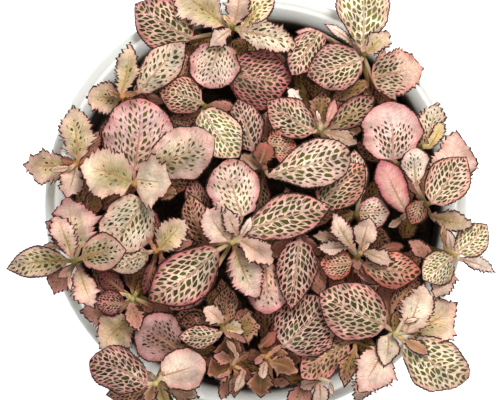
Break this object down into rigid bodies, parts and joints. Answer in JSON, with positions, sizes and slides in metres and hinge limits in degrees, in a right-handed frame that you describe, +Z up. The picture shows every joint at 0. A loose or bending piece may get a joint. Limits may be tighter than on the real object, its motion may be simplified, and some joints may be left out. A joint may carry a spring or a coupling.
{
  "type": "potted nerve plant",
  "caption": "Low bushy nerve plant with pink-netted oval leaves on thin stems, standing in soil in a plain tapered round pot.",
  "frame": {"origin": "centre of the pot's flat base, on the surface that it stands on", "axes": "+Z up along the pot's axis, +X to the right and +Y to the top of the picture, which looks straight down"},
  "size_m": [0.15, 0.14, 0.1517],
  "materials": {
    "pot": "satin, smooth white",
    "soil": "matte, crumbly dark peat",
    "leaf": "soft sheen, pink and cream veins over dark green cells"
  },
  "bodies": {
    "root": {"pot": "pot", "soil": "soil", "stem_back_a": "leaf", "stem_back_b": "leaf", "stem_back_c": "leaf", "stem_back_d": "leaf", "stem_back_e": "leaf", "stem_back_f": "leaf", "stem_left_a": "leaf", "stem_left_b": "leaf", "stem_left_c": "leaf", "stem_left_d": "leaf", "stem_left_e": "leaf", "stem_middle_a": "leaf", "stem_middle_b": "leaf", "stem_middle_c": "leaf", "stem_middle_d": "leaf", "stem_middle_e": "leaf", "stem_right_a": "leaf", "stem_right_b": "leaf", "stem_right_c": "leaf", "stem_right_d": "leaf", "stem_front_a": "leaf", "stem_front_b": "leaf", "stem_front_c": "leaf", "stem_front_d": "leaf", "stem_front_e": "leaf", "stem_front_f": "leaf", "stem_front_g": "leaf", "stem_front_h": "leaf"}
  },
  "joints": []
}
